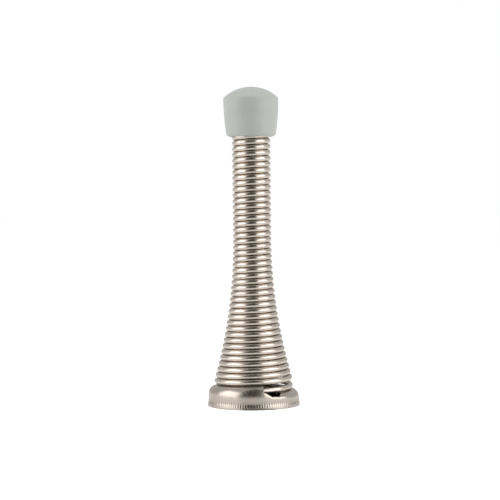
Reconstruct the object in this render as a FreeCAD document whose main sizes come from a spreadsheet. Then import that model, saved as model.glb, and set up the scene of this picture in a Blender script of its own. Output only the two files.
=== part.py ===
import FreeCAD, Part
import math
import os

import Sketcher
from FreeCAD import Placement, Rotation, Vector

# Spring door stop
# A flared, close-wound coil spring stands in a stamped base cup and carries a soft tip.
# The cup's open rim lies on the wall or floor at height zero, and +Z runs along the spring to the tip.
# Lengths are in millimetres, and angles in degrees, anticlockwise from +X as seen from the tip.

doc = FreeCAD.newDocument("spring_door_stop")
Z_AXIS = Vector(0, 0, 1)

# Driving dimensions
SIZES = (
    ("overall_height", 84.0, "rim of the cup to the top of the tip"),
    ("rim_diameter", 24.3, "cup, across the lip of its rim"),
    ("lip_reach", 0.15, "how far the lip stands out from the band above it"),
    ("lip_height", 1.1, "height of the lip"),
    ("rim_edge", 0.12, "rounding of the rim's outer corner"),
    ("band_step", 0.03, "how far the band stands out from the sheet on each side"),
    ("sheet_thickness", 0.5, "steel sheet of the cup"),
    ("shoulder_radius", 2.2, "outer bend between the cup's top plate and its wall"),
    ("ramp_height", 3.92, "top of the plate where the ramp starts"),
    ("ramp_angle", -54.0, "where around the axis the ramp starts, at the slot's right side"),
    ("slot_floor_span", 12.0, "angle that the slot takes up at its floor"),
    ("slot_span", 23.0, "angle that the slot takes up at the plate"),
    ("slot_sill", 0.55, "floor of the slot above the plain band of the cup"),
    ("flap_rise", 1.4, "height of the slanted foot of the flap beside the slot"),
    ("seat_diameter", 12.0, "inside of the dished screw seat"),
    ("seat_height", 0.4, "underside of the screw seat above the rim"),
    ("seat_bend", 0.8, "bend between the plate and the screw seat"),
    ("screw_hole_diameter", 4.5, "hole for the fixing screw"),
    ("wire_diameter", 1.5, "spring wire"),
    ("coil_gap", 0.025, "space between turns of the close-wound coil"),
    ("stem_diameter", 10.15, "outside of the coil above its flare"),
    ("flare_height", 45.0, "where the flare starts above the rim"),
    ("foot_overhang", 0.68, "outside of the coil's foot beyond the flat of the plate"),
    ("dive_turns", 0.85, "part of a turn over which the wire leaves the coil for the slot"),
    ("captured_turns", 0.65, "part of a turn that runs on under the plate"),
    ("over_gap", 0.15, "wire above the plate at the slot"),
    ("under_gap", 0.10, "wire below the plate beyond the slot"),
    ("tip_length", 13.5, "soft tip, foot to top"),
    ("tip_wall", 1.325, "wall of the tip around the coil, at its foot"),
    ("tip_belly", 0.75, "how far the tip swells from its foot to its widest part"),
    ("tip_dome", 10.5, "radius of the tip's domed end"),
    ("tip_crease", 0.5, "rounding between the dome and the side"),
    ("tip_foot_width", 0.95, "slanted edge of the tip's foot, across"),
    ("tip_foot_height", 0.5, "slanted edge of the tip's foot, up"),
    ("socket_depth", 9.0, "depth of the hole that takes the coil"),
    ("socket_gap", 0.1, "tip around and beyond the end of the coil"),
)

sizes = doc.addObject("Spreadsheet::Sheet", "sizes")
for row, (alias, value, meaning) in enumerate(SIZES, start=1):
    sizes.set(f"A{row}", alias)
    sizes.set(f"B{row}", str(value))
    sizes.set(f"C{row}", meaning)
    sizes.setAlias(f"B{row}", alias)
doc.recompute()


def size(expression):
    """The value of an expression on the sheet's sizes."""
    return float(sizes.evalExpression(expression))


# Shapes that follow from the sizes
RIM_RADIUS = "(sizes.rim_diameter / 2)"
BAND_RADIUS = f"({RIM_RADIUS} - sizes.lip_reach)"
WALL_RADIUS = f"({BAND_RADIUS} - sizes.band_step)"
SHOULDER_RADIUS = f"({WALL_RADIUS} - sizes.shoulder_radius)"
SEAT_RADIUS = "(sizes.seat_diameter / 2)"
RAMP_PITCH = "(sizes.wire_diameter + sizes.sheet_thickness + sizes.over_gap + sizes.under_gap)"
RAMP_TURNS = "(1 - sizes.slot_floor_span / 360)"
RAMP_RISE = f"({RAMP_PITCH} * {RAMP_TURNS})"
BAND_HEIGHT = f"({RAMP_RISE} + sizes.sheet_thickness / 2)"
SLOT_FLOOR = f"({BAND_HEIGHT} + sizes.slot_sill)"
COIL_PITCH = "(sizes.wire_diameter + sizes.coil_gap)"
WIRE_RADIUS = "(sizes.wire_diameter / 2)"
TIP_FOOT = "(sizes.overall_height - sizes.tip_length)"
SOCKET_RADIUS = "(sizes.stem_diameter / 2 + sizes.socket_gap)"
TIP_FOOT_RADIUS = f"({SOCKET_RADIUS} + sizes.tip_wall)"
TIP_RADIUS = f"({TIP_FOOT_RADIUS} + sizes.tip_belly)"


def meridian(angle):
    """Placement of a sketch that holds the axis, at an angle around it: sketch X is outwards, sketch Y is up."""
    return Placement(Vector(), Rotation(Z_AXIS, angle).multiply(Rotation(Vector(1, 0, 0), 90)))


def arc_between(start, end, radius, turns_left):
    """Arc of a circle from start to end, and whether start is the arc's first end."""
    chord = end - start
    across = Vector(-chord.y, chord.x, 0).normalize()
    reach = math.sqrt(max(radius**2 - chord.Length**2 / 4, 0))
    centre = (start + end) / 2 + across * (reach if turns_left else -reach)
    first, last = (start, end) if turns_left else (end, start)
    angles = [math.atan2(point.y - centre.y, point.x - centre.x) for point in (first, last)]
    return Part.ArcOfCircle(Part.Circle(centre, Z_AXIS, radius), *angles), turns_left


def draw_outline(sketch, corners, arcs):
    """Draw a closed outline through corners, each an (across, up) pair of expressions.

    arcs gives, for each corner that an arc starts from, the arc's radius and whether it turns left.
    """
    points = [Vector(size(across), size(up), 0) for across, up in corners]
    ends = []
    for index, start in enumerate(points):
        end = points[(index + 1) % len(points)]
        if index in arcs:
            radius, turns_left = arcs[index]
            curve, forwards = arc_between(start, end, size(radius), turns_left)
        else:
            curve, forwards = Part.LineSegment(start, end), True
        side = sketch.addGeometry(curve, False)
        ends.append((side, 1, 2) if forwards else (side, 2, 1))

    def bind(constraint, expression):
        number = sketch.addConstraint(constraint)
        sketch.setExpression(f"Constraints[{number}]", expression)

    for index, (across, up) in enumerate(corners):
        side, first, _ = ends[index]
        before, _, last = ends[index - 1]
        sketch.addConstraint(Sketcher.Constraint("Coincident", before, last, side, first))
        if across == "0":
            sketch.addConstraint(Sketcher.Constraint("PointOnObject", side, first, -2))
        else:
            bind(Sketcher.Constraint("DistanceX", -1, 1, side, first, points[index].x), across)
        if up == "0":
            sketch.addConstraint(Sketcher.Constraint("PointOnObject", side, first, -1))
        else:
            bind(Sketcher.Constraint("DistanceY", -1, 1, side, first, points[index].y), up)
        if index in arcs:
            radius = arcs[index][0]
            bind(Sketcher.Constraint("Radius", side, size(radius)), radius)


def outline_sketch(name, placement, corners, arcs):
    sketch = doc.addObject("Sketcher::SketchObject", name)
    sketch.Placement = placement
    draw_outline(sketch, corners, arcs)
    return sketch


def turned(name, corners, arcs):
    """Solid turned about the axis from an outline of (radius, height) corners."""
    solid = doc.addObject("Part::Revolution", name)
    solid.Source = outline_sketch(name + "_outline", meridian(0), corners, arcs)
    solid.Axis = Z_AXIS
    solid.Angle = 360
    solid.Solid = True
    return solid


# Base cup: the ramp
# The top plate is a screw ramp of one turn, cut open at the slot: it climbs by the wire and the sheet.
# Its section is the plate with the shoulder and wall outside it and the wall of the screw seat inside it.
# The two walls end inside the plain band and the seat, which close the cup below the slot.
WALL_END = "(sizes.sheet_thickness / 4)"
SEAT_WALL_END = "(sizes.seat_height + sizes.sheet_thickness * 4 / 5)"
SEAT_TOP = f"({SEAT_WALL_END} + {RAMP_RISE} + sizes.sheet_thickness / 4)"
PLATE_BOTTOM = "(sizes.ramp_height - sizes.sheet_thickness)"
SEAT_OUTSIDE = f"({SEAT_RADIUS} + sizes.sheet_thickness)"

ramp_line = doc.addObject("Part::Helix", "ramp_line")
ramp_line.setExpression("Pitch", RAMP_PITCH)
ramp_line.setExpression("Height", RAMP_RISE)
ramp_line.setExpression("Radius", WALL_RADIUS)
ramp_line.Placement = Placement(Vector(), Rotation(Z_AXIS, size("sizes.ramp_angle")))

ramp_section = outline_sketch(
    "ramp_section",
    meridian(size("sizes.ramp_angle")),
    (
        (WALL_RADIUS, WALL_END),
        (WALL_RADIUS, "sizes.ramp_height - sizes.shoulder_radius"),
        (SHOULDER_RADIUS, "sizes.ramp_height"),
        (f"{SEAT_RADIUS} + sizes.seat_bend", "sizes.ramp_height"),
        (SEAT_RADIUS, "sizes.ramp_height - sizes.seat_bend"),
        (SEAT_RADIUS, SEAT_WALL_END),
        (SEAT_OUTSIDE, SEAT_WALL_END),
        (SEAT_OUTSIDE, "sizes.ramp_height - sizes.seat_bend"),
        (f"{SEAT_RADIUS} + sizes.seat_bend", PLATE_BOTTOM),
        (SHOULDER_RADIUS, PLATE_BOTTOM),
        (f"{WALL_RADIUS} - sizes.sheet_thickness", "sizes.ramp_height - sizes.shoulder_radius"),
        (f"{WALL_RADIUS} - sizes.sheet_thickness", WALL_END),
    ),
    {
        1: ("sizes.shoulder_radius", True),
        3: ("sizes.seat_bend", True),
        7: ("sizes.seat_bend - sizes.sheet_thickness", False),
        9: ("sizes.shoulder_radius - sizes.sheet_thickness", False),
    },
)

ramp = doc.addObject("Part::Sweep", "ramp")
ramp.Sections = [ramp_section]
ramp.Spine = (ramp_line, [])
ramp.Solid = True
ramp.Frenet = True

# Base cup: the sill of the slot
# The ramp's first section runs on level, back to the ramp's high end, and only what lies below the slot stays.
sill_blank = doc.addObject("Part::Revolution", "sill_blank")
sill_blank.Source = ramp_section
sill_blank.Axis = Z_AXIS
sill_blank.setExpression("Angle", "-sizes.slot_floor_span")
sill_blank.Solid = True

below_slot = doc.addObject("Part::Cylinder", "below_slot")
below_slot.setExpression("Radius", RIM_RADIUS)
below_slot.setExpression("Height", SLOT_FLOOR)

sill = doc.addObject("Part::MultiCommon", "sill")
sill.Shapes = [sill_blank, below_slot]

# Base cup: the plain band with its lip, and the dished screw seat
BAND_INSIDE = f"({WALL_RADIUS} - sizes.sheet_thickness - sizes.band_step)"
band = turned(
    "band",
    (
        (BAND_INSIDE, "0"),
        (f"{RIM_RADIUS} - sizes.rim_edge", "0"),
        (RIM_RADIUS, "sizes.rim_edge"),
        (RIM_RADIUS, "sizes.lip_height - sizes.lip_reach"),
        (BAND_RADIUS, "sizes.lip_height"),
        (BAND_RADIUS, BAND_HEIGHT),
        (BAND_INSIDE, BAND_HEIGHT),
    ),
    {1: ("sizes.rim_edge", True)},
)

seat = turned(
    "seat",
    (
        (f"{SEAT_RADIUS} - sizes.band_step", "sizes.seat_height + sizes.sheet_thickness"),
        ("sizes.screw_hole_diameter / 2", "sizes.seat_height + sizes.sheet_thickness"),
        ("sizes.screw_hole_diameter / 2", "sizes.seat_height"),
        (f"{SEAT_OUTSIDE} + sizes.band_step - sizes.sheet_thickness", "sizes.seat_height"),
        (f"{SEAT_OUTSIDE} + sizes.band_step", "sizes.seat_height + sizes.sheet_thickness"),
        (f"{SEAT_OUTSIDE} + sizes.band_step", SEAT_TOP),
        (f"{SEAT_RADIUS} - sizes.band_step", SEAT_TOP),
    ),
    {3: ("sizes.sheet_thickness", True)},
)

cup_blank = doc.addObject("Part::MultiFuse", "cup_blank")
cup_blank.Shapes = [ramp, sill, band, seat]

# Base cup: the slot
# Between the ramp's two ends the plate is open. The flap at the high end is cut away down a slanted foot.
flap_angle = size("sizes.ramp_angle - sizes.slot_span")
flap_normal = Rotation(Z_AXIS, flap_angle).multVec(Vector(1, 0, 0))
FLAP_RUN = f"({BAND_RADIUS} * sin((sizes.slot_span - sizes.slot_floor_span) * 1 deg))"
SLOT_TOP = f"(sizes.ramp_height + 2 * {RAMP_PITCH})"

slot_section = outline_sketch(
    "slot_section",
    Placement(
        flap_normal * size(f"{SEAT_OUTSIDE} + sizes.sheet_thickness"),
        meridian(flap_angle + 90).Rotation,
    ),
    (
        ("0", f"{SLOT_FLOOR} + sizes.flap_rise"),
        (f"{FLAP_RUN} + sizes.sheet_thickness", SLOT_FLOOR),
        (f"{FLAP_RUN} + sizes.sheet_thickness", SLOT_TOP),
        ("0", SLOT_TOP),
    ),
    {},
)
slot_cutter = doc.addObject("Part::Extrusion", "slot_cutter")
slot_cutter.Base = slot_section
slot_cutter.DirMode = "Normal"
slot_cutter.setExpression("LengthFwd", RIM_RADIUS)
slot_cutter.Solid = True

base_cup = doc.addObject("Part::Cut", "base_cup")
base_cup.Label = "base_cup"
base_cup.Base = cup_blank
base_cup.Tool = slot_cutter

# Coil spring: its line
# Turns are counted from the start of the cup's ramp. Below it the wire follows the ramp, under the plate.
# Above it the wire climbs out of the slot onto a close-wound coil, whose flare is one arc tangent to the stem.
wire_radius = size(WIRE_RADIUS)
coil_pitch = size(COIL_PITCH)
ramp_pitch = size(RAMP_PITCH)
ramp_angle = size("sizes.ramp_angle")
dive_turns = size("sizes.dive_turns")
captured_turns = size("sizes.captured_turns")
flare_height = size("sizes.flare_height")
slot_wire_height = size(f"sizes.ramp_height + sizes.over_gap + {WIRE_RADIUS}")
foot_line_radius = size(f"{SHOULDER_RADIUS} + sizes.foot_overhang - {WIRE_RADIUS}")
stem_line_radius = size(f"sizes.stem_diameter / 2 - {WIRE_RADIUS}")
coil_top = size(f"{TIP_FOOT} + sizes.socket_depth - sizes.socket_gap - {WIRE_RADIUS}")

dive_depth = ramp_pitch - coil_pitch
flare_foot = slot_wire_height + dive_depth + coil_pitch * dive_turns
flare_run = flare_height - flare_foot
flare_reach = foot_line_radius - stem_line_radius
flare_arc = (flare_run**2 + flare_reach**2) / (2 * flare_reach)
top_turn = (coil_top - slot_wire_height - dive_depth) / coil_pitch


def line_height(turn):
    if turn < 0:
        return slot_wire_height + ramp_pitch * turn
    share = min(turn / dive_turns, 1)
    leaving = dive_depth * dive_turns * share * (1 - share) ** 2
    rising = dive_depth * share**2 * (3 - 2 * share)
    return slot_wire_height + coil_pitch * turn + leaving + rising


def line_radius(turn):
    if turn <= dive_turns:
        return foot_line_radius
    drop = max(flare_height - line_height(turn), 0)
    return stem_line_radius + flare_arc - math.sqrt(flare_arc**2 - drop**2)


def line_point(turn):
    angle = math.radians(ramp_angle + 360 * turn)
    radius = line_radius(turn)
    return Vector(radius * math.cos(angle), radius * math.sin(angle), line_height(turn))


def line_direction(turn):
    step = 1e-4
    return (line_point(turn + step) - line_point(turn - step)).normalize()


def arc_leaving(start, direction, end):
    """Arc that leaves start in a direction and ends at end."""
    chord = end - start
    inwards = (chord - direction * chord.dot(direction)).normalize()
    radius = chord.Length**2 / (2 * chord.dot(inwards))
    centre = start + inwards * radius
    middle = centre + ((start + end) / 2 - centre).normalize() * radius
    return Part.Arc(start, middle, end).toShape()


def arc_pair(first_turn, last_turn):
    """Two tangent arcs that follow the line from one turn to another."""
    start, start_way = line_point(first_turn), line_direction(first_turn)
    end, end_way = line_point(last_turn), line_direction(last_turn)
    chord = end - start
    bend = 2 * (1 - start_way.dot(end_way))
    along = chord.dot(start_way + end_way)
    reach = (math.sqrt(along**2 + bend * chord.dot(chord)) - along) / bend
    first_corner = start + start_way * reach
    last_corner = end - end_way * reach
    joint = (first_corner + last_corner) / 2
    joint_way = (last_corner - first_corner).normalize()
    return [arc_leaving(start, start_way, joint), arc_leaving(joint, joint_way, end)]


STRETCHES_PER_TURN = 4
stretches = round((top_turn + captured_turns) * STRETCHES_PER_TURN)
turns = [-captured_turns + (top_turn + captured_turns) * step / stretches for step in range(stretches + 1)]
line_edges = []
for first_turn, last_turn in zip(turns[:-1], turns[1:]):
    line_edges += arc_pair(first_turn, last_turn)

coil_line = doc.addObject("Part::Feature", "coil_line")
coil_line.Shape = Part.Wire(line_edges)

# Coil spring: the wire
wire_section = doc.addObject("Part::Circle", "wire_section")
wire_section.setExpression("Radius", WIRE_RADIUS)
wire_section.Placement = Placement(line_point(turns[0]), Rotation(Z_AXIS, line_direction(turns[0])))

coil_spring = doc.addObject("Part::Sweep", "coil_spring")
coil_spring.Label = "coil_spring"
coil_spring.Sections = [wire_section]
coil_spring.Spine = (coil_line, [])
coil_spring.Solid = True
coil_spring.Frenet = True

# Soft tip: a moulded cap with a barrel side and a domed end, pushed over the end of the coil
TIP_CORNER = f"(sizes.overall_height - sizes.tip_dome + sqrt(sizes.tip_dome ^ 2 - {TIP_RADIUS} ^ 2))"
TIP_SIDE = f"({TIP_CORNER} - {TIP_FOOT} - sizes.tip_foot_height)"
TIP_SIDE_ARC = f"(({TIP_SIDE} ^ 2 + sizes.tip_belly ^ 2) / (2 * sizes.tip_belly))"

soft_tip = doc.addObject("PartDesign::Body", "soft_tip")
soft_tip.Label = "soft_tip"
tip_outline = soft_tip.newObject("Sketcher::SketchObject", "tip_outline")
upright_plane = next(plane for plane in soft_tip.Origin.OriginFeatures if plane.Role == "XZ_Plane")
tip_outline.AttachmentSupport = [(upright_plane, "")]
tip_outline.MapMode = "FlatFace"
draw_outline(
    tip_outline,
    (
        ("0", f"{TIP_FOOT} + sizes.socket_depth"),
        (SOCKET_RADIUS, f"{TIP_FOOT} + sizes.socket_depth"),
        (SOCKET_RADIUS, TIP_FOOT),
        (f"{TIP_FOOT_RADIUS} - sizes.tip_foot_width", TIP_FOOT),
        (TIP_FOOT_RADIUS, f"{TIP_FOOT} + sizes.tip_foot_height"),
        (TIP_RADIUS, TIP_CORNER),
        ("0", "sizes.overall_height"),
    ),
    {4: (TIP_SIDE_ARC, True), 5: ("sizes.tip_dome", True)},
)
tip_turned = soft_tip.newObject("PartDesign::Revolution", "tip_turned")
tip_turned.Profile = tip_outline
tip_turned.ReferenceAxis = (tip_outline, ["V_Axis"])
tip_turned.Angle = 360
doc.recompute()


def crease_edge(shape):
    """Name of the round edge where the dome meets the side."""
    height = size(TIP_CORNER)
    for number, edge in enumerate(shape.Edges, start=1):
        box = edge.BoundBox
        if abs(box.ZMin - height) < 1e-3 and abs(box.ZMax - height) < 1e-3:
            return f"Edge{number}"
    raise RuntimeError("the tip has no edge between its dome and its side")


tip_rounded = soft_tip.newObject("PartDesign::Fillet", "tip_rounded")
tip_rounded.Base = (tip_turned, [crease_edge(tip_turned.Shape)])
tip_rounded.setExpression("Radius", "sizes.tip_crease")
soft_tip.Tip = tip_rounded
doc.recompute()

# Test and write the pieces
for item in doc.Objects:
    if "Invalid" in item.State or "Error" in item.State:
        raise RuntimeError(f"{item.Name} did not build: {item.State}")

wire_volume = coil_line.Shape.Length * math.pi * wire_radius**2
if abs(coil_spring.Shape.Volume - wire_volume) > 0.001 * wire_volume:
    raise RuntimeError("the wire's volume isn't its section times its length")

os.makedirs("parts", exist_ok=True)
for piece in (base_cup, coil_spring, soft_tip):
    shape = piece.Shape
    if shape.isNull() or not shape.isValid() or len(shape.Solids) != 1:
        raise RuntimeError(f"{piece.Label} isn't one valid solid")
    shape.exportStep(f"parts/{piece.Label}.step")
    box = shape.BoundBox
    print(f"{piece.Label}: {shape.Volume:.1f} mm3, Z {box.ZMin:.2f} to {box.ZMax:.2f}, {box.XLength:.2f} across")
print(f"coil: {top_turn + captured_turns:.1f} turns, {coil_line.Shape.Length:.0f} mm of wire, flare arc {flare_arc:.0f} mm")
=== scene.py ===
# %% [markdown]
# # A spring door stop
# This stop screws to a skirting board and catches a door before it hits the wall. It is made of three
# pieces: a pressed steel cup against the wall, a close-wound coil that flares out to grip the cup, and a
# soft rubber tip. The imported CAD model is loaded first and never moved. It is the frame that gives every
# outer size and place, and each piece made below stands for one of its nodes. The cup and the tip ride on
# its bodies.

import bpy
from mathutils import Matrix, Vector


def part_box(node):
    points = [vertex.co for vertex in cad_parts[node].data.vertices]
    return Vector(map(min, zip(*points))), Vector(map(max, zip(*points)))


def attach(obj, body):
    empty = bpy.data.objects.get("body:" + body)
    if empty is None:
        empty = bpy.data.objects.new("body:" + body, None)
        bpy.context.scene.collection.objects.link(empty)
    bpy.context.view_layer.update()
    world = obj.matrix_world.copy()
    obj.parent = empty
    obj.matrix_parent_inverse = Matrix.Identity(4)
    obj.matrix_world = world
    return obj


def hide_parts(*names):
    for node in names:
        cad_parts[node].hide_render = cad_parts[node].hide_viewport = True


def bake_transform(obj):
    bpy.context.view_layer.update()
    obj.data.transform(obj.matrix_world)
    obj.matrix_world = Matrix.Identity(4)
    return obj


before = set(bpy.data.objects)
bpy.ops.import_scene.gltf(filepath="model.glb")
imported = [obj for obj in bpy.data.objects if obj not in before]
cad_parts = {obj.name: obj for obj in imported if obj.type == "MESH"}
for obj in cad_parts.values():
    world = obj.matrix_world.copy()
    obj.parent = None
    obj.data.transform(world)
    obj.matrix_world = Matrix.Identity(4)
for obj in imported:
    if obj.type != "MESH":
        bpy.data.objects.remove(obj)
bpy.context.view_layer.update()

# %% [markdown]
# ## The driving sizes
# Blender works in metres, and the sizes of a small pressed part read best in millimetres, so one constant
# turns one into the other. The outer sizes come from the boxes of the CAD nodes. What a box can't tell, such
# as a wire's thickness or a corner, is written out next to the piece that needs it.

# %% Read the sizes from the frame
MM = 0.001

cup_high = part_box("base_cup")[1]
coil_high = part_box("coil_spring")[1]
tip_low, tip_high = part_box("soft_tip")

rim_radius = cup_high[0]
wire_radius = 0.75 * MM
foot_radius = coil_high[0] - wire_radius
coil_top = coil_high[2] - wire_radius
overall_height = tip_high[2]
print("rim radius", rim_radius, "coil foot", foot_radius, "coil top", coil_top)

# %% [markdown]
# ## Small tools for node trees
# Materials, Geometry Nodes and the world are all node trees, and all three are built here by script. A few
# helpers keep that short. The first ones add a node, fill its inputs, and give a tree its named sockets. The
# others add one kind of node each and hand back its result, so that a formula can be written from the inside
# out.

# %% Helpers that add nodes
import math

import bpy


def feed(tree, socket, term):
    """Fills an input with a link, if the term is another node's socket, or with a plain value."""
    if isinstance(term, bpy.types.NodeSocket):
        tree.links.new(term, socket)
    else:
        socket.default_value = term


def add_node(tree, kind, feeds=None, **settings):
    """Adds a node, sets its properties, then fills its inputs by name or by number."""
    node = tree.nodes.new(kind)
    for name, value in settings.items():
        setattr(node, name, value)
    for key, term in (feeds or {}).items():
        feed(tree, node.inputs[key], term)
    return node


def sockets(tree, in_out, **kinds):
    """Gives a group its named inputs or outputs, with spaces for the underscores of the names."""
    for name, kind in kinds.items():
        label = name.replace("_", " ")
        tree.interface.new_socket(label, in_out=in_out, socket_type="NodeSocket" + kind)


print("helpers that add nodes are ready")

# %% Helpers that write formulas
def calc(tree, operation, *terms):
    """A Math node."""
    return add_node(tree, "ShaderNodeMath", dict(enumerate(terms)), operation=operation).outputs[0]


def vector_calc(tree, operation, *terms):
    """A Vector Math node. It gives a number for a length or a dot product, and else a vector."""
    node = add_node(tree, "ShaderNodeVectorMath", dict(enumerate(terms)), operation=operation)
    return node.outputs["Value" if operation in ("LENGTH", "DOT_PRODUCT") else "Vector"]


def ramp(tree, value, start, end, low=0.0, high=1.0, shape="LINEAR"):
    """A Map Range node: from low to high as the value goes from start to end, and no further."""
    spans = {"Value": value, "From Min": start, "From Max": end, "To Min": low, "To Max": high}
    return add_node(tree, "ShaderNodeMapRange", spans, interpolation_type=shape).outputs["Result"]


def fade(tree, value, start, end, high=1.0):
    """A ramp from 0 that leaves and arrives without a corner."""
    return ramp(tree, value, start, end, high=high, shape="SMOOTHSTEP")


print("helpers that write formulas are ready")

# %% [markdown]
# Three more are for shaders only: a grey noise, a mix of two colours, and the place of a point on its piece.
# A noise seldom leaves the middle of its range, so that middle is what gets spread over a whole tone.

# %% Helpers for shaders
noise_span = (0.3, 0.7)


def noise(tree, place, scale, detail, roughness=0.5):
    """The grey value of a Noise Texture."""
    look = {"Vector": place, "Scale": scale, "Detail": detail, "Roughness": roughness}
    return add_node(tree, "ShaderNodeTexNoise", look).outputs["Fac"]


def mix_colours(tree, share, first, second):
    """The first colour at a share of 0, the second at a share of 1."""
    return add_node(tree, "ShaderNodeMix", {0: share, 6: first, 7: second}, data_type="RGBA").outputs[2]


def place_on_piece(tree):
    """Object coordinates."""
    return add_node(tree, "ShaderNodeTexCoord").outputs["Object"]


print("a noise is spread from", noise_span)

# %% [markdown]
# ## Satin plating
# Cup and wire are steel with a warm satin nickel plating. Up close it is not one even grey: the tone drifts
# a little in soft clouds, and fine lines from drawing or pressing the metal make it rougher in places. The
# colour is also darkened where shade falls, between the turns and in the grooves of the rim, which is
# painted shade. Two copies of the nodes would do, but a change to one would have to be made in the other, so
# what both pieces share is a shader group. The group puts out only what changes over the surface: a colour,
# a roughness and a height. Each material hands in its own lines and its own mask of painted shade, and keeps
# its own shader.

# %% The shared plating group
# The dark colour of painted shade, mixed in between the wire's turns and in the grooves of the rim.
painted_shade_tone = (0.10, 0.085, 0.07, 1.0)
lines_in_tone = 0.45
lines_in_bite = 0.6


def plating_group():
    group = bpy.data.node_groups.new("satin_plating", "ShaderNodeTree")
    sockets(group, "INPUT", Place="Vector", Lines="Float", Tarnish="Float")
    sockets(group, "INPUT", Pale="Color", Deep="Color", Smooth="Float", Rough="Float")
    sockets(group, "OUTPUT", Colour="Color", Roughness="Float", Height="Float")
    given = add_node(group, "NodeGroupInput").outputs

    clouds = noise(group, given["Place"], scale=260.0, detail=3.0)
    drift = calc(group, "MULTIPLY", clouds, 1.0 - lines_in_tone)
    drift = calc(group, "MULTIPLY_ADD", given["Lines"], lines_in_tone, drift)
    tone = mix_colours(group, ramp(group, drift, *noise_span), given["Deep"], given["Pale"])

    grain = noise(group, given["Place"], scale=5200.0, detail=2.0)
    bite = calc(group, "MULTIPLY", grain, 1.0 - lines_in_bite)
    bite = calc(group, "MULTIPLY_ADD", given["Lines"], lines_in_bite, bite)

    result = add_node(group, "NodeGroupOutput").inputs
    # The last input pulls the tone towards that dark colour: painted shade, between the turns and in the
    # grooves.
    feed(group, result["Colour"], mix_colours(group, given["Tarnish"], tone, painted_shade_tone))
    feed(group, result["Roughness"], ramp(group, bite, *noise_span, given["Smooth"], given["Rough"]))
    feed(group, result["Height"], bite)
    return group


plating = plating_group()
print("plating group with", len(plating.nodes), "nodes")

# %% [markdown]
# A plated material is a metallic shader with that group in front of it. The height of the lines and the
# grain goes through a Bump node, because they are far too fine to be modelled.

# %% A plated material
def plated_material(name, pale, deep, smooth, rough):
    """Returns the material and the group's node, which still waits for its lines and its mask of painted
    shade.
    """
    material = bpy.data.materials.new(name)
    material.use_nodes = True
    tree = material.node_tree
    finish = add_node(tree, "ShaderNodeGroup", node_tree=plating)
    looks = {"Pale": (*pale, 1.0), "Deep": (*deep, 1.0), "Smooth": smooth, "Rough": rough}
    for label, value in looks.items():
        feed(tree, finish.inputs[label], value)
    feed(tree, finish.inputs["Place"], place_on_piece(tree))
    relief = {"Strength": 0.06, "Distance": 0.02 * MM, "Height": finish.outputs["Height"]}
    shader = tree.nodes["Principled BSDF"].inputs
    feed(tree, shader["Metallic"], 1.0)
    feed(tree, shader["Base Color"], finish.outputs["Colour"])
    feed(tree, shader["Roughness"], finish.outputs["Roughness"])
    feed(tree, shader["Normal"], add_node(tree, "ShaderNodeBump", relief).outputs["Normal"])
    return material, finish


takes = [socket.name for socket in plating.interface.items_tree if socket.in_out == "INPUT"]
print("the plating takes", takes)

# %% [markdown]
# ## The finish of the wire
# Spring wire is drawn through a die, which leaves faint lines that run along it and never across. Object
# coordinates can't follow a wire that winds round 48 times, so the coil's tree stores two attributes: how
# far along the wire a point is, in turns, and which way round its section it faces, as a vector of length 1.
# Together they are a place on a straightened wire. A real turn is 36 wire radii long or more, and here it is
# counted as 12, so the spots of a noise come out stretched into lines that follow every turn. The way that a
# point faces also tells where a turn lies on its neighbour, and there the colour is darkened: painted shade,
# for the shade between touching turns.

# %% The plated wire
turn_in_radii = 12.0
touch_edges = (0.78, 1.0)
touch_shade = 0.25


def wire_finish():
    material, finish = plated_material(
        "plated_wire", pale=(0.78, 0.707, 0.63), deep=(0.655, 0.582, 0.51), smooth=0.20, rough=0.32
    )
    tree = material.node_tree
    along = add_node(tree, "ShaderNodeAttribute", attribute_name="wire_along").outputs["Fac"]
    facing = add_node(tree, "ShaderNodeAttribute", attribute_name="wire_facing").outputs["Vector"]
    across = add_node(tree, "ShaderNodeSeparateXYZ", {"Vector": facing}).outputs
    spot = {"X": across["X"], "Y": across["Y"], "Z": calc(tree, "MULTIPLY", along, turn_in_radii)}
    stretched = add_node(tree, "ShaderNodeCombineXYZ", spot).outputs["Vector"]
    feed(tree, finish.inputs["Lines"], noise(tree, stretched, scale=9.0, detail=3.0, roughness=0.6))
    # Painted shade: darker where the wire faces the turn above or below it, in the shade between the turns.
    touching = fade(tree, calc(tree, "ABSOLUTE", across["Y"]), *touch_edges, high=touch_shade)
    feed(tree, finish.inputs["Tarnish"], touching)
    return material


plated_wire = wire_finish()
print("material", plated_wire.name, "with", len(plated_wire.node_tree.nodes), "nodes")

# %% [markdown]
# ## The finish of the cup
# The cup is pressed from sheet, so its lines run up the wall, the way the metal was drawn. Object
# coordinates are enough here: squeezed to a small share in height, the noise turns into upright lines on the
# wall and stays an even grain on the flat plate. The grooves between the ribs of the rim are darkened, as
# painted shade in the grooves. The tree that presses the ribs leaves an attribute that says how deep in a
# groove a point lies.

# %% The plated sheet
height_squeeze = 0.07
groove_shade = 0.45


def sheet_finish():
    material, finish = plated_material(
        "plated_sheet", pale=(0.635, 0.572, 0.51), deep=(0.525, 0.462, 0.403), smooth=0.22, rough=0.34
    )
    tree = material.node_tree
    squeeze = {"Vector": place_on_piece(tree), "Scale": (1.0, 1.0, height_squeeze)}
    upright = add_node(tree, "ShaderNodeMapping", squeeze).outputs["Vector"]
    feed(tree, finish.inputs["Lines"], noise(tree, upright, scale=1900.0, detail=3.0, roughness=0.6))
    groove = add_node(tree, "ShaderNodeAttribute", attribute_name="groove").outputs["Fac"]
    # Painted shade: the colour darkens towards the bottom of each groove.
    feed(tree, finish.inputs["Tarnish"], calc(tree, "MULTIPLY", groove, groove_shade))
    return material


plated_sheet = sheet_finish()
print("material", plated_sheet.name, "with", len(plated_sheet.node_tree.nodes), "nodes")

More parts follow.
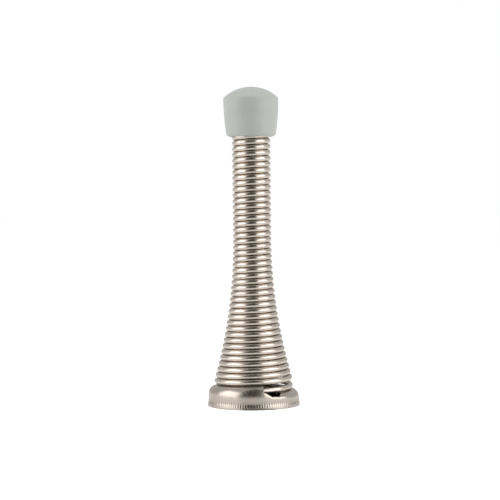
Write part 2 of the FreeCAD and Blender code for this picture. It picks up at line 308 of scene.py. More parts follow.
# %% [markdown]
# ## The finish of the tip
# The tip is moulded in grey rubber with a touch of green. It has a soft sheen, a tone that drifts a little,
# and a fine skin that breaks the highlight up. No other piece has this finish, so it needs no group.

# %% The moulded rubber
rubber_deep = (0.525, 0.54, 0.51, 1.0)
rubber_pale = (0.58, 0.595, 0.565, 1.0)
rubber_roughness = (0.38, 0.5)


def rubber_finish():
    material = bpy.data.materials.new("grey_rubber")
    material.use_nodes = True
    tree = material.node_tree
    place = place_on_piece(tree)
    drift = ramp(tree, noise(tree, place, scale=190.0, detail=4.0, roughness=0.55), *noise_span)
    skin = noise(tree, place, scale=2600.0, detail=2.0)
    relief = {"Strength": 0.25, "Distance": 0.03 * MM, "Height": skin}
    shader = tree.nodes["Principled BSDF"].inputs
    feed(tree, shader["Base Color"], mix_colours(tree, drift, rubber_deep, rubber_pale))
    feed(tree, shader["Roughness"], ramp(tree, skin, *noise_span, *rubber_roughness))
    feed(tree, shader["Normal"], add_node(tree, "ShaderNodeBump", relief).outputs["Normal"])
    return material


grey_rubber = rubber_finish()
print("material", grey_rubber.name, "with", len(grey_rubber.node_tree.nodes), "nodes")

# %% [markdown]
# ## The coil
# One wire, wound right-handed from inside the cup to inside the tip. Its line follows a rule: a height and a
# radius for every turn. Below the plate it climbs as steeply as the cup's ramp, then it settles onto the
# pitch of touching turns, while a large arc draws the radius in from the wide foot to the slim stem. A Screw
# modifier winds a coil too, but only with one pitch and one radius. A rule suits Geometry Nodes better: a
# line of points is bent to the formula, made a curve, and a round section is swept along it.

# %% Sizes of the winding
slot_angle = math.radians(-54.0)
slot_wire_height = 4.82 * MM
captured_turns = 0.65
dive_turns = 0.85
coil_pitch = 1.525 * MM
ramp_pitch = 2.25 * MM
dive_depth = ramp_pitch - coil_pitch
stem_radius = 5.075 * MM - wire_radius
flare_height = 45.0 * MM

turns_above = (coil_top - slot_wire_height - dive_depth) / coil_pitch
flare_foot = slot_wire_height + dive_turns * coil_pitch + dive_depth
flare_run = flare_height - flare_foot
flare_reach = foot_radius - stem_radius
flare_arc = (flare_run ** 2 + flare_reach ** 2) / (2 * flare_reach)
print("turns above the plate", round(turns_above, 3), "flare arc radius", round(flare_arc, 4))

# %% [markdown]
# The rule is three functions: from a point's number to its turn, from the turn to the height, and from the
# height to the radius. They don't work anything out themselves. Each adds Math nodes to the tree, and
# Geometry Nodes then works the formula out for every point.

# %% The rule of the winding
def turn_of_point(tree, size):
    """Every point knows its turn, counted from where the wire passes up through the slot."""
    index = add_node(tree, "GeometryNodeInputIndex").outputs["Index"]
    wound = calc(tree, "DIVIDE", index, size["Steps per turn"])
    turn = calc(tree, "SUBTRACT", wound, size["Captured turns"])
    return calc(tree, "MINIMUM", turn, size["Turns above"])


def height_of_turn(tree, size, turn):
    """The steep climb below the plate eases into the coil's own pitch over the dive."""
    share = ramp(tree, turn, 0.0, size["Dive turns"])
    rest = calc(tree, "POWER", calc(tree, "SUBTRACT", 1.0, share), 2.0)
    ease_in = calc(tree, "MULTIPLY", size["Dive turns"], calc(tree, "MULTIPLY", share, rest))
    slope = calc(tree, "SUBTRACT", 3.0, calc(tree, "MULTIPLY", share, 2.0))
    ease_out = calc(tree, "MULTIPLY", calc(tree, "POWER", share, 2.0), slope)
    extra = calc(tree, "ADD", calc(tree, "MINIMUM", turn, 0.0), calc(tree, "ADD", ease_in, ease_out))
    height = calc(tree, "MULTIPLY_ADD", turn, size["Pitch"], size["Slot height"])
    return calc(tree, "MULTIPLY_ADD", extra, size["Dive depth"], height)


def radius_at_height(tree, size, height):
    """A large arc, tangent to the stem, sets the radius at every height of the flare."""
    drop = calc(tree, "MAXIMUM", calc(tree, "SUBTRACT", size["Flare height"], height), 0.0)
    drop = calc(tree, "POWER", calc(tree, "MINIMUM", drop, size["Flare run"]), 2.0)
    chord = calc(tree, "SUBTRACT", calc(tree, "POWER", size["Flare arc"], 2.0), drop)
    inset = calc(tree, "SUBTRACT", size["Flare arc"], calc(tree, "SQRT", chord))
    return calc(tree, "ADD", size["Stem radius"], inset)


print("the winding settles over", dive_turns, "turn and flares over", round(flare_run, 4), "m")

# %% [markdown]
# The tree has two halves: the line of the wire, and its round section. The section carries which way it
# faces as a unit vector, not as an angle, so that no seam shows where the circle closes.

# %% The line and the section of the wire
def store(tree, geometry, name, value, kind):
    """Stores a value on every point, under a name that a material can read."""
    feeds = {"Geometry": geometry, "Name": name, "Value": value}
    node = add_node(tree, "GeometryNodeStoreNamedAttribute", feeds, data_type=kind, domain="POINT")
    return node.outputs["Geometry"]


def wire_line(tree, size):
    turn = turn_of_point(tree, size)
    height = height_of_turn(tree, size, turn)
    radius = radius_at_height(tree, size, height)
    angle = calc(tree, "MULTIPLY_ADD", turn, 2 * math.pi, size["Slot angle"])
    sideways = calc(tree, "MULTIPLY", radius, calc(tree, "COSINE", angle))
    back = calc(tree, "MULTIPLY", radius, calc(tree, "SINE", angle))
    point = add_node(tree, "ShaderNodeCombineXYZ", {"X": sideways, "Y": back, "Z": height}).outputs["Vector"]

    turns = calc(tree, "ADD", size["Captured turns"], size["Turns above"])
    steps = calc(tree, "CEIL", calc(tree, "MULTIPLY", turns, size["Steps per turn"]))
    line = add_node(tree, "GeometryNodeMeshLine", {"Count": calc(tree, "ADD", steps, 1.0)}).outputs["Mesh"]
    bent = add_node(tree, "GeometryNodeSetPosition", {"Geometry": line, "Position": point})
    curve = add_node(tree, "GeometryNodeMeshToCurve", {"Mesh": bent.outputs["Geometry"]}).outputs["Curve"]
    upright = add_node(tree, "GeometryNodeSetCurveNormal", {"Curve": curve}, mode="Z_UP").outputs["Curve"]
    return store(tree, upright, "wire_along", turn, "FLOAT")


def wire_section(tree, size):
    round_wire = {"Resolution": size["Sides of wire"], "Radius": size["Wire radius"]}
    circle = add_node(tree, "GeometryNodeCurvePrimitiveCircle", round_wire).outputs["Curve"]
    spot = add_node(tree, "GeometryNodeInputPosition").outputs["Position"]
    facing = vector_calc(tree, "NORMALIZE", spot)
    return store(tree, circle, "wire_facing", facing, "FLOAT_VECTOR")


print("the wire stores wire_along and wire_facing")

# %% The tree that winds the coil
def close_tree(tree, geometry, finish):
    """Ends a tree: real geometry, dressed in its material."""
    whole = add_node(tree, "GeometryNodeRealizeInstances", {"Geometry": geometry}).outputs["Geometry"]
    dressed = add_node(tree, "GeometryNodeSetMaterial", {"Geometry": whole, "Material": finish})
    feed(tree, add_node(tree, "NodeGroupOutput").inputs["Geometry"], dressed.outputs["Geometry"])


def coil_tree():
    tree = bpy.data.node_groups.new("close_wound_coil", "GeometryNodeTree")
    sockets(tree, "INPUT", Captured_turns="Float", Turns_above="Float", Dive_turns="Float")
    sockets(tree, "INPUT", Slot_angle="Float", Slot_height="Float", Pitch="Float", Dive_depth="Float")
    sockets(tree, "INPUT", Flare_height="Float", Flare_run="Float", Flare_arc="Float")
    sockets(tree, "INPUT", Stem_radius="Float", Wire_radius="Float")
    sockets(tree, "INPUT", Steps_per_turn="Int", Sides_of_wire="Int", Finish="Material")
    sockets(tree, "OUTPUT", Geometry="Geometry")
    size = add_node(tree, "NodeGroupInput").outputs
    sweep = {"Curve": wire_line(tree, size), "Profile Curve": wire_section(tree, size), "Fill Caps": True}
    tube = add_node(tree, "GeometryNodeCurveToMesh", sweep).outputs["Mesh"]
    close_tree(tree, tube, size["Finish"])
    return tree


coil_rule = coil_tree()
print("coil tree with", len(coil_rule.nodes), "nodes")

# %% [markdown]
# A tree is set up on an object as a modifier. Its inputs are reached by the identifiers of the sockets, and
# they are set before the object is evaluated for the first time. The result is then copied into a plain
# mesh, because the bodies of the frame carry plain meshes.

# %% From a tree to a plain mesh
def new_piece(name, mesh):
    piece = bpy.data.objects.new(name, mesh)
    bpy.context.scene.collection.objects.link(piece)
    return piece


def add_tree(piece, tree, **values):
    """Adds a Geometry Nodes modifier and sets the tree's named inputs on it."""
    modifier = piece.modifiers.new(tree.name, "NODES")
    modifier.node_group = tree
    for socket in tree.interface.items_tree:
        key = socket.name.replace(" ", "_")
        if socket.in_out == "INPUT" and key in values:
            modifier[socket.identifier] = values[key]


def settle(piece):
    """Turns a piece with modifiers into a plain mesh with smooth shading."""
    bpy.context.view_layer.update()
    graph = bpy.context.evaluated_depsgraph_get()
    mesh = bpy.data.meshes.new_from_object(
        piece.evaluated_get(graph), preserve_all_data_layers=True, depsgraph=graph
    )
    piece.modifiers.clear()
    piece.data = mesh
    mesh.name = piece.name
    mesh.shade_smooth()


def describe(piece):
    mesh = piece.data
    triangles = sum(len(polygon.vertices) - 2 for polygon in mesh.polygons)
    print(piece.name, "has", len(mesh.vertices), "points and", triangles, "triangles")


# %% [markdown]
# Now the tree gets its sizes. With 72 steps to a turn and 18 sides, the wire looks round from close by, and
# the piece stays well under 200,000 triangles. Only the cut ends of the wire keep a sharp edge.

# %% Wind the wire
cut_end_angle = math.radians(50.0)

spring = new_piece("wound_spring", bpy.data.meshes.new("wound_spring"))
add_tree(
    spring,
    coil_rule,
    Captured_turns=captured_turns,
    Turns_above=turns_above,
    Dive_turns=dive_turns,
    Slot_angle=slot_angle,
    Slot_height=slot_wire_height,
    Pitch=coil_pitch,
    Dive_depth=dive_depth,
    Flare_height=flare_height,
    Flare_run=flare_run,
    Flare_arc=flare_arc,
    Stem_radius=stem_radius,
    Wire_radius=wire_radius,
    Steps_per_turn=72,
    Sides_of_wire=18,
    Finish=plated_wire,
)
settle(spring)
spring.data.set_sharp_from_angle(angle=cut_end_angle)
describe(spring)

# %% [markdown]
# ## The cup
# The cup is pressed from one sheet: a rim with a lip, a wall, a rounded shoulder and a plate that climbs
# round like a ramp, so that the last turn of the coil lies on it. Where the ramp's high end meets its low
# end, the sheet is cut open, and the wire passes through that slot to be held under the plate. The middle
# is dished down to a small floor with a hole for a screw.
#
# Booleans could cut it from a solid, but they leave long thin faces, which can't be pressed into ribs. So it
# is made as the real one is, from a sheet. Only its outer skin is drawn, as rings of points from the rim to
# the hole. The rings of the lower wall go all the way round, with fine steps that will carry the reeding.
# The rings of the ramp stop at the slot. Solidify then gives the skin its thickness.

# %% Sizes of the pressing
sheet_thickness = 0.5 * MM
lip_height = 0.55 * MM
lip_top = 1.5 * MM
lip_reach = 0.15 * MM
wall_radius = rim_radius - lip_reach
shoulder_radius = 2.2 * MM
plate_radius = wall_radius - shoulder_radius
ramp_low = 3.92 * MM
seat_radius = 6.0 * MM
seat_bend = 0.8 * MM
seat_border = 3.0 * MM
seat_floor = 0.9 * MM
seat_corner = 0.45 * MM
hole_radius = 2.25 * MM
hole_border = 1.2 * MM

slot_span = math.radians(23.0)
slot_floor_span = math.radians(12.0)
slot_floor = 2.975 * MM
slot_corner = 0.45 * MM
flap_rise = 1.4 * MM
ramp_span = 2 * math.pi - slot_span
sill_start = 2 * math.pi - slot_floor_span
print("wall radius", wall_radius, "plate radius", plate_radius, "ramp of", round(ramp_span, 3), "radians")

# %% [markdown]
# Every height and radius of the skin is a function of how far round the cup it lies, counted from the low
# end of the ramp. Beside the slot the press has drawn the shoulder down on the flap's side and left it tight
# at the low end, and those changes fade out round the cup.

# %% The ramp and its shoulder
flap_draw = 0.6 * MM
flap_start = math.radians(250.0)
low_end_height = 1.2 * MM
low_end_span = math.radians(55.0)


def smooth_step(share):
    """Goes from 0 to 1 without a corner at either end."""
    share = min(max(share, 0.0), 1.0)
    return share * share * (3 - 2 * share)


def plate_height(turned):
    """The ramp climbs all the way to the flap. Below the slot, the wall goes over to its low end."""
    climbed = ramp_low + ramp_pitch * turned / (2 * math.pi)
    return climbed + (ramp_low - climbed) * smooth_step((turned - ramp_span) / slot_span)


def shoulder_height(turned):
    """As high as it is wide, but drawn down next to the flap and tight next to the low end."""
    at_flap = flap_draw * smooth_step((turned - flap_start) / (ramp_span - flap_start))
    at_low_end = low_end_height + (shoulder_radius - low_end_height) * smooth_step(turned / low_end_span)
    through_slot = smooth_step((turned - ramp_span) / slot_span)
    return (at_low_end + at_flap) * (1 - through_slot) + low_end_height * through_slot


def skin_radius(turned, height):
    """How far out the skin lies: an upright wall, then the round of the shoulder."""
    round_height = shoulder_height(turned)
    rise = (height - plate_height(turned) + round_height) / round_height
    if rise <= 0:
        return wall_radius
    return plate_radius + shoulder_radius * math.sqrt(max(1 - rise ** 2, 0.0))


print("ramp climbs from", plate_height(0), "to", round(plate_height(ramp_span), 5))

# %% [markdown]
# The cut of the slot slants down from the flap, runs level along its floor and turns up in a small corner.
# Its edge is rolled in a little, which catches the light as a bright line. The low end of the ramp is cut
# back between shoulder and seat, and that leaves the dark opening under the wire.

# %% The cut of the slot
edge_roll = 0.5 * MM
edge_sink = 0.25 * MM
edge_rise = 0.3 * MM
roll_fade = 0.1
notch_turn = math.radians(11.0)
notch_fade = math.radians(50.0)
notch_border = 1.3 * shoulder_radius


def roll_share(turned):
    """How far the edge is rolled in: fully along the cut, and not at its two ends."""
    into_slot = (turned - ramp_span) / slot_span
    return smooth_step(into_slot / roll_fade) * smooth_step((1 - into_slot) / roll_fade)


def wall_top(turned):
    """The height where the full ring of the wall ends. In the slot this is the cut."""
    if turned <= ramp_span:
        return slot_floor + slot_corner + (flap_rise - slot_corner) * turned / ramp_span
    raised = slot_floor + edge_rise * roll_share(turned)
    if turned <= sill_start:
        return raised + flap_rise * (sill_start - turned) / (sill_start - ramp_span)
    to_corner = 1 - (2 * math.pi - turned) * wall_radius / slot_corner
    return raised + slot_corner * (1 - math.sqrt(1 - max(to_corner, 0.0) ** 2))


def notch_angle(turned, radius):
    """How far the ramp's low end is cut back beside the slot, between the shoulder and the seat."""
    from_shoulder = smooth_step((wall_radius - radius) / notch_border)
    from_seat = smooth_step((radius - seat_radius - seat_bend) / shoulder_radius)
    return notch_turn * from_shoulder * from_seat * (1 - smooth_step(turned / notch_fade))


print("wall ends at", round(wall_top(ramp_span), 5), "beside the flap and", wall_top(0), "at the low end")

# %% [markdown]
# One column of the skin is three short lists of rings, each a radius and a height. Straight stretches have
# only the rows that the reeding or the roll needs, and round ones are parts of an ellipse.

# %% Rings of the lip and the wall
lip_rows = (0.0, 0.3, 0.65, 1.0)
lip_steps = 6
wall_rows = (0.3, 0.55, 0.8, 1.0)
roll_rows = (0.35, 0.65, 0.85, 1.0)


def lower_rings(turned):
    """The rim, the lip and the wall, up to the wall's top."""
    rings = [(rim_radius, share * lip_height) for share in lip_rows]
    for step in range(1, lip_steps + 1):
        height = lip_height + (lip_top - lip_height) * step / lip_steps
        rings.append((rim_radius - lip_reach * smooth_step(step / lip_steps), height))
    roll_start = wall_top(turned) - edge_roll
    for share in wall_rows:
        height = lip_top + (roll_start - lip_top) * share
        rings.append((skin_radius(turned, height), height))
    for share in roll_rows:
        height = roll_start + edge_roll * share
        sunk = edge_sink * roll_share(turned) * (1 - math.sqrt(1 - share ** 2))
        rings.append((skin_radius(turned, height) - sunk, height))
    return rings


print("rings of the wall:", len(lower_rings(0)))

# %% Rings of the ramp
shoulder_steps = 10
plate_rows = (0.66, 0.33, 0.0)
seat_bend_steps = 6


def arc_points(centre, start, end, reach_r, reach_z, steps):
    """Points (radius, height) along part of an ellipse, without its first point."""
    points = []
    for step in range(1, steps + 1):
        turned = start + (end - start) * step / steps
        points.append((centre[0] + reach_r * math.cos(turned), centre[1] + reach_z * math.sin(turned)))
    return points


def upper_rings(turned):
    """The rest of the shoulder, the plate and the bend down into the seat, from above the wall's top."""
    top = plate_height(turned)
    round_height = shoulder_height(turned)
    middle = top - round_height
    leaving = math.asin((wall_top(turned) - middle) / round_height)
    rings = arc_points(
        (plate_radius, middle), leaving, 0.5 * math.pi, shoulder_radius, round_height, shoulder_steps
    )
    seat_edge = seat_radius + seat_bend
    rings += [(seat_edge + (plate_radius - seat_edge) * share, top) for share in plate_rows]
    bend = (seat_edge, top - seat_bend)
    rings += arc_points(bend, 0.5 * math.pi, math.pi, seat_bend, seat_bend, seat_bend_steps)
    rings.append((seat_radius, seat_border))
    return rings


print("rings of the ramp:", len(upper_rings(0)))

# %% Rings of the seat
seat_corner_steps = 4


def seat_rings():
    """The seat's wall below the ramp, its corner and its floor, in to the screw hole."""
    rings = [(seat_radius, 0.5 * (seat_border + seat_floor)), (seat_radius, seat_floor + seat_corner)]
    corner = (seat_radius - seat_corner, seat_floor + seat_corner)
    rings += arc_points(corner, 0.0, -0.5 * math.pi, seat_corner, seat_corner, seat_corner_steps)
    rings += [(hole_radius + hole_border, seat_floor), (hole_radius, seat_floor)]
    return rings


print("rings of the seat:", len(seat_rings()))

# %% [markdown]
# The three sets of rings share their border points, so the skin is one sheet. Each column of the ramp
# stands on three fine steps of the lower wall, which makes the faces along that border six-sided, and
# nothing gapes.

# %% Columns round the cup
ramp_columns = 300
slot_columns = 20
all_columns = ramp_columns + slot_columns
fine_steps = 3


def column_angle(column):
    """The angle of a column, counted from the slot's right end, where the ramp is lowest."""
    if column <= ramp_columns:
        return ramp_span * column / ramp_columns
    return ramp_span + slot_span * (column - ramp_columns) / slot_columns


def bridge(here, there):
    """Four-sided faces between two columns of points."""
    return [(here[row], there[row], there[row + 1], here[row + 1]) for row in range(len(here) - 1)]


print("columns:", ramp_columns, "on the ramp and", all_columns * fine_steps, "on the lower wall")

# %% Join the rings into one sheet
def cup_skin():
    points = []
    faces = []

    def spot(turned, radius, height):
        angle = slot_angle + turned
        points.append((radius * math.cos(angle), radius * math.sin(angle), height))
        return len(points) - 1

    lower = []
    for column in range(all_columns):
        start = column_angle(column)
        width = column_angle(column + 1) - start
        for step in range(fine_steps):
            turned = start + width * step / fine_steps
            lower.append([spot(turned, *ring) for ring in lower_rings(turned)])
    for fine, here in enumerate(lower):
        faces += bridge(here, lower[(fine + 1) % len(lower)])

    upper = []
    for column in range(ramp_columns + 1):
        turned = column_angle(column)
        notched = [(turned + notch_angle(turned, ring[0]), *ring) for ring in upper_rings(turned)]
        upper.append([spot(*place) for place in notched])
    for column in range(ramp_columns):
        here, there = upper[column], upper[column + 1]
        first = column * fine_steps
        border = [lower[fine][-1] for fine in range(first, first + fine_steps + 1)]
        faces.append((*border, there[0], here[0]))
        faces += bridge(here, there)

    seat = []
    for column in range(all_columns):
        turned = column_angle(column)
        on_ramp = column <= ramp_columns
        border = upper[column][-1] if on_ramp else spot(turned, seat_radius, seat_border)
        seat.append([border] + [spot(turned, *ring) for ring in seat_rings()])
    for column, here in enumerate(seat):
        faces += bridge(here, seat[(column + 1) % all_columns])

    mesh = bpy.data.meshes.new("pressed_cup")
    mesh.from_pydata(points, [], faces)
    mesh.validate()
    return mesh


cup = new_piece("pressed_cup", cup_skin())
sample = cup.data.polygons[0].normal
print("skin:", len(cup.data.vertices), "points; first face looks", [round(part, 2) for part in sample])

# %% [markdown]
# ## The reeding
# Fine upright ribs run round the lip and the lower wall, pressed in by the tool that formed the lip. A Bump
# could shade them, but the mesh itself would stay smooth. They repeat by a rule, so a second tree presses
# them in: every point of the wall moves towards the axis by a wave of its angle, and the wave fades out at
# the foot, under the shoulder and away from the wall.

# %% The wave of the ribs
wall_fade = 0.1 * MM


def groove_share(tree, size, place, flat):
    """1 at the bottom of a groove, and 0 on top of a rib and wherever the wave has faded out."""
    angle = calc(tree, "ARCTAN2", place["Y"], place["X"])
    wave = calc(tree, "COSINE", calc(tree, "MULTIPLY", angle, size["Ribs"]))
    wave = calc(tree, "POWER", calc(tree, "MULTIPLY_ADD", wave, 0.5, 0.5), 2.0)

    def step_up(value, edge, width):
        return fade(tree, value, edge, calc(tree, "ADD", edge, width))

    above = step_up(place["Z"], size["Foot"], size["Foot fade"])
    below = calc(tree, "SUBTRACT", 1.0, step_up(place["Z"], size["Top"], size["Top fade"]))
    outside = step_up(vector_calc(tree, "LENGTH", flat), size["Inner radius"], wall_fade)
    share = calc(tree, "MULTIPLY", calc(tree, "MULTIPLY", above, below), outside)
    return calc(tree, "MULTIPLY", wave, share)


print("inside the wall the wave fades out over", wall_fade, "m")

# %% [markdown]
# The tree keeps that wave as an attribute, for the painted shade in the grooves, and moves the points by
# it. It also merges points that lie on one spot, which a bevel can leave where a cut turns a corner.

# %% The tree that presses the ribs
one_spot = 0.00002 * MM


def reeding_tree():
    tree = bpy.data.node_groups.new("reeding", "GeometryNodeTree")
    sockets(tree, "INPUT", Geometry="Geometry", Ribs="Float", Depth="Float", Inner_radius="Float")
    sockets(tree, "INPUT", Foot="Float", Foot_fade="Float", Top="Float", Top_fade="Float")
    sockets(tree, "INPUT", Finish="Material")
    sockets(tree, "OUTPUT", Geometry="Geometry")
    size = add_node(tree, "NodeGroupInput").outputs
    spot = add_node(tree, "GeometryNodeInputPosition").outputs["Position"]
    place = add_node(tree, "ShaderNodeSeparateXYZ", {"Vector": spot}).outputs
    flat = add_node(tree, "ShaderNodeCombineXYZ", {"X": place["X"], "Y": place["Y"]}).outputs["Vector"]
    groove = groove_share(tree, size, place, flat)

    inward = calc(tree, "MULTIPLY", calc(tree, "MULTIPLY", groove, size["Depth"]), -1.0)
    push = {0: vector_calc(tree, "NORMALIZE", flat), "Scale": inward}
    offset = add_node(tree, "ShaderNodeVectorMath", push, operation="SCALE").outputs["Vector"]
    marked = store(tree, size["Geometry"], "groove", groove, "FLOAT")
    pressed = add_node(tree, "GeometryNodeSetPosition", {"Geometry": marked, "Offset": offset})
    meeting = {"Geometry": pressed.outputs["Geometry"], "Distance": one_spot}
    merged = add_node(tree, "GeometryNodeMergeByDistance", meeting).outputs["Geometry"]
    close_tree(tree, merged, size["Finish"])
    return tree


reeding = reeding_tree()
print("reeding tree with", len(reeding.nodes), "nodes")

# %% [markdown]
# The order of the modifiers counts. The skin gets its thickness first, then a small bevel breaks the cut
# edges, and the ribs come last, because they are only on the outside of the wall.

# %% Thicken the sheet and press the ribs
cut_edge_round = 0.1 * MM
cut_edge_angle = math.radians(60.0)
pressed_edge_angle = math.radians(45.0)

thicken = cup.modifiers.new("sheet", "SOLIDIFY")
thicken.thickness = sheet_thickness
thicken.offset = -1.0
soften = cup.modifiers.new("cut_edges", "BEVEL")
soften.width = cut_edge_round
soften.segments = 2
soften.limit_method = "ANGLE"
soften.angle_limit = cut_edge_angle
add_tree(
    cup,
    reeding,
    Ribs=112.0,
    Depth=0.045 * MM,
    Inner_radius=wall_radius - 0.3 * MM,
    Foot=0.35 * MM,
    Foot_fade=0.3 * MM,
    Top=1.3 * MM,
    Top_fade=1.3 * MM,
    Finish=plated_sheet,
)
settle(cup)
cup.data.set_sharp_from_angle(angle=pressed_edge_angle)
describe(cup)

# %% [markdown]
# ## The tip
# The tip is a moulded cap: a shallow dome, a clear crease, a barrel side that swells by less than a
# millimetre, and a narrow foot. Underneath is the socket that the end of the coil pushes into. A subdivided
# cylinder could be pulled into that shape, but it would only come near the true arcs. It is a turned shape,
# so its outline is drawn once, in radius and height, and turned round the axis.

# %% Sizes of the cap
foot_lift = 0.35 * MM
foot_height = tip_low[2] + foot_lift
tip_radius = tip_high[0]
tip_dome = 10.5 * MM
tip_belly = 0.75 * MM
tip_foot_width = 0.95 * MM
tip_foot_height = 0.5 * MM
socket_radius = 5.175 * MM
socket_depth = 9.0 * MM - foot_lift

dome_centre = overall_height - tip_dome
crease_height = dome_centre + math.sqrt(tip_dome ** 2 - tip_radius ** 2)
side_foot = foot_height + tip_foot_height
side_run = crease_height - side_foot
side_arc = (side_run ** 2 + tip_belly ** 2) / (2 * tip_belly)
print("crease at", round(crease_height, 5), "side arc", round(side_arc, 4))

# %% Outline of the cap
dome_steps = 24
side_steps = 14


def tip_outline():
    """(radius, height) from the top of the dome, down the side, and up the socket to its roof."""
    dome_turn = math.asin(tip_radius / tip_dome)
    side_turn = math.asin(side_run / side_arc)
    side_centre = tip_radius - side_arc
    outline = [(0.0, overall_height)]
    outline += arc_points(
        (0.0, dome_centre), 0.5 * math.pi, 0.5 * math.pi - dome_turn, tip_dome, tip_dome, dome_steps
    )
    outline += arc_points((side_centre, crease_height), 0.0, -side_turn, side_arc, side_arc, side_steps)
    outline.append((tip_radius - tip_belly - tip_foot_width, foot_height))
    outline.append((socket_radius, foot_height))
    outline.append((socket_radius, foot_height + 0.5 * socket_depth))
    outline.append((socket_radius, foot_height + socket_depth))
    outline.append((0.0, foot_height + socket_depth))
    return outline


print("outline of", len(tip_outline()), "points")

# %% [markdown]
# A mould has no knife edges, so a Bevel rounds the crease, the foot and the socket. It goes by the angle
# between faces, and leaves the fine steps of the dome and the side alone.

# %% Turn the cap
tip_columns = 128
mould_round = 0.17 * MM
mould_angle = math.radians(25.0)


def turned_mesh(name, outline, columns):
    """Turns an outline round the axis. Its first and last points lie on the axis."""
    points = [(0.0, 0.0, outline[0][1])]
    inner = outline[1:-1]
    for column in range(columns):
        angle = 2 * math.pi * column / columns
        points += [(radius * math.cos(angle), radius * math.sin(angle), height) for radius, height in inner]
    points.append((0.0, 0.0, outline[-1][1]))
    rows = len(inner)
    last = len(points) - 1
    faces = []
    for column in range(columns):
        here = 1 + column * rows
        there = 1 + (column + 1) % columns * rows
        faces.append((0, here, there))
        for row in range(rows - 1):
            faces.append((here + row, here + row + 1, there + row + 1, there + row))
        faces.append((here + rows - 1, last, there + rows - 1))
    mesh = bpy.data.meshes.new(name)
    mesh.from_pydata(points, [], faces)
    mesh.validate()
    return mesh


tip = new_piece("rubber_tip", turned_mesh("rubber_tip", tip_outline(), tip_columns))
tip.data.materials.append(grey_rubber)
rounding = tip.modifiers.new("mould_corners", "BEVEL")
rounding.width = mould_round
rounding.segments = 4
rounding.limit_method = "ANGLE"
rounding.angle_limit = mould_angle
settle(tip)
describe(tip)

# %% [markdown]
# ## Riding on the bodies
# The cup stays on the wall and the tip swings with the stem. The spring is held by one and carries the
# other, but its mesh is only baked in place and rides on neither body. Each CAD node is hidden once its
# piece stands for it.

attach(cup, "base")
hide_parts("base_cup")

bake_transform(spring)
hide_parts("coil_spring")

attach(tip, "stem")
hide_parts("soft_tip")
print("pieces:", cup.name, spring.name, tip.name)

# %% [markdown]
# ## Floor
# Polished metal shows the room more than itself, so the room is the larger part of its look. To the camera
# the floor is plain white. To reflections it is a light table, which lights the wire from below, with three
# unlit parts: inside the rim, a wedge far in front, which darkens the middle of the coil, and a short strip
# close in front, which darkens the middle of the lip. The front is a direction across the floor, and how
# much a point lies that way is the dot product of the two.

# %% Floor paint
table_glow = 0.75
table_grey = (0.12, 0.12, 0.12, 1.0)
seen_glow = 0.6
seen_white = (0.9, 0.9, 0.9, 1.0)
front_way = (-0.058, -1.0, 0.0)
strip_way = (0.10, -1.0, 0.0)
inside_edges = (1.05 * rim_radius, 0.95 * rim_radius)
wedge_start = (60.0 * MM, 170.0 * MM)
wedge_sides = (0.74, 0.87)
strip_end = (1.6 * rim_radius, 1.25 * rim_radius)
strip_sides = (0.88, 0.96)


def floor_paint():
    material = bpy.data.materials.new("white_floor")
    material.use_nodes = True
    tree = material.node_tree
    place = place_on_piece(tree)
    away = vector_calc(tree, "LENGTH", place)
    way = vector_calc(tree, "NORMALIZE", place)

    inside = ramp(tree, away, *inside_edges)
    ahead = fade(tree, vector_calc(tree, "DOT_PRODUCT", way, front_way), *wedge_sides)
    wedge = calc(tree, "MULTIPLY", fade(tree, away, *wedge_start), ahead)
    ahead = fade(tree, vector_calc(tree, "DOT_PRODUCT", way, strip_way), *strip_sides)
    strip = calc(tree, "MULTIPLY", fade(tree, away, *strip_end), ahead)
    unlit = calc(tree, "MAXIMUM", inside, calc(tree, "MAXIMUM", wedge, strip))

    lit = calc(tree, "MULTIPLY", calc(tree, "SUBTRACT", 1.0, unlit), table_glow)
    white = calc(tree, "MULTIPLY", calc(tree, "SUBTRACT", 1.0, inside), seen_glow)
    seen = add_node(tree, "ShaderNodeLightPath").outputs["Is Camera Ray"]
    strength = add_node(tree, "ShaderNodeMix", {0: seen, 2: lit, 3: white}).outputs[0]
    shader = tree.nodes["Principled BSDF"].inputs
    feed(tree, shader["Roughness"], 0.9)
    feed(tree, shader["Base Color"], mix_colours(tree, seen, table_grey, seen_white))
    feed(tree, shader["Emission Color"], (1.0, 1.0, 1.0, 1.0))
    feed(tree, shader["Emission Strength"], strength)
    return material


white_floor = floor_paint()
print("material", white_floor.name, "with", len(white_floor.node_tree.nodes), "nodes")

# %% White floor
floor_reach = 3.0

corners = [(-1, -1), (1, -1), (1, 1), (-1, 1)]
floor_mesh = bpy.data.meshes.new("floor")
floor_mesh.from_pydata([(x * floor_reach, y * floor_reach, 0.0) for x, y in corners], [], [(0, 1, 2, 3)])
floor_mesh.materials.append(white_floor)
floor = new_piece("floor", floor_mesh)
print("floor", 2 * floor_reach, "m wide")

# %% [markdown]
# ## Light
# Two tall soft boxes stand left and right and make the bright flanks of the stop. A third one lights it from
# above, for the shoulder and the dome. It is hidden from reflections, where it would be one more streak on
# every turn of the wire.

# %% Soft boxes
from mathutils import Vector


def soft_box(name, place, aim, width, height, power):
    light = bpy.data.lights.new(name, "AREA")
    light.shape = "RECTANGLE"
    light.size = width
    light.size_y = height
    light.energy = power
    lamp = bpy.data.objects.new(name, light)
    lamp.location = place
    lamp.rotation_euler = (Vector(aim) - Vector(place)).to_track_quat("-Z", "Y").to_euler()
    bpy.context.scene.collection.objects.link(lamp)
    return lamp


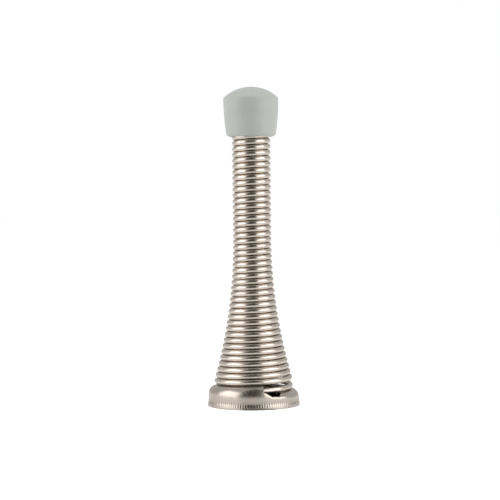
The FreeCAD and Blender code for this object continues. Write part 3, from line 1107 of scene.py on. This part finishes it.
soft_box("left_box", place=(-0.5, -0.26, 0.3), aim=(0.0, -0.26, 0.3), width=0.64, height=0.6, power=1.85)
soft_box("right_box", place=(0.5, -0.45, 0.3), aim=(0.0, -0.45, 0.3), width=0.83, height=0.6, power=2.5)
top_box = soft_box(
    "top_box", place=(0.0, -0.05, 0.85), aim=(0.0, 0.0, 0.0), width=0.9, height=0.7, power=1.7
)
top_box.visible_glossy = False
print("lights:", [lamp.name for lamp in bpy.data.lights])

# %% [markdown]
# The dark strip down the middle of the coil is the unlit side of the studio, behind the camera. So the world
# is dark and warm on that side and pale elsewhere. Camera rays see plain white in every direction, which
# keeps the backdrop clean from all sides.

# %% The studio around
front_edges = (0.80, 0.92)
room_light = 0.53
front_light = 0.035
room_tint = (1.0, 1.0, 1.0, 1.0)
front_tint = (1.0, 0.80, 0.62, 1.0)


def studio_world():
    world = bpy.data.worlds.new("studio")
    world.use_nodes = True
    tree = world.node_tree
    tree.nodes.clear()
    way = add_node(tree, "ShaderNodeTexCoord").outputs["Generated"]
    part = add_node(tree, "ShaderNodeSeparateXYZ", {"Vector": way}).outputs
    flat = add_node(tree, "ShaderNodeCombineXYZ", {"X": part["X"], "Y": part["Y"]}).outputs["Vector"]
    ahead = vector_calc(tree, "DOT_PRODUCT", vector_calc(tree, "NORMALIZE", flat), front_way)
    front = fade(tree, ahead, *front_edges)
    lit = calc(tree, "MULTIPLY_ADD", front, front_light - room_light, room_light)
    tint = mix_colours(tree, front, room_tint, front_tint)
    seen = add_node(tree, "ShaderNodeLightPath").outputs["Is Camera Ray"]
    strength = add_node(tree, "ShaderNodeMix", {0: seen, 2: lit, 3: 1.0}).outputs[0]
    colour = mix_colours(tree, seen, tint, (1.0, 1.0, 1.0, 1.0))
    paint = add_node(tree, "ShaderNodeBackground", {"Color": colour, "Strength": strength})
    result = add_node(tree, "ShaderNodeOutputWorld").inputs
    feed(tree, result["Surface"], paint.outputs["Background"])
    return world


bpy.context.scene.world = studio_world()
bpy.context.scene.view_settings.view_transform = "Standard"
print("world", bpy.context.scene.world.name)

# %% [markdown]
# ## The camera
# The photograph was taken from a little above the middle of the stop, with a long lens that hardly bends its
# upright lines. Its picture is square, and the stop leans by about half a degree in it, so the camera is
# rolled by as much.

# %% Camera at the photograph's angle
from mathutils import Quaternion

camera_distance = 430.0 * MM
camera_height = 56.0 * MM
camera_side = -0.6 * MM
aim_height = 41.0 * MM
seen_width = 132.1 * MM
lean = math.radians(-0.6)
sensor_width = 36.0

lens = bpy.data.cameras.new("camera")
lens.sensor_width = sensor_width
lens.sensor_fit = "HORIZONTAL"
lens.lens = sensor_width * camera_distance / seen_width
lens.clip_start = 0.01
camera = bpy.data.objects.new("camera", lens)
camera.location = (camera_side, -camera_distance, camera_height)
look = Vector((camera_side, 0.0, aim_height)) - camera.location
camera.rotation_euler = (look.to_track_quat("-Z", "Y") @ Quaternion((0.0, 0.0, 1.0), lean)).to_euler()
bpy.context.scene.collection.objects.link(camera)
bpy.context.scene.camera = camera
print("lens", round(lens.lens, 1), "mm")
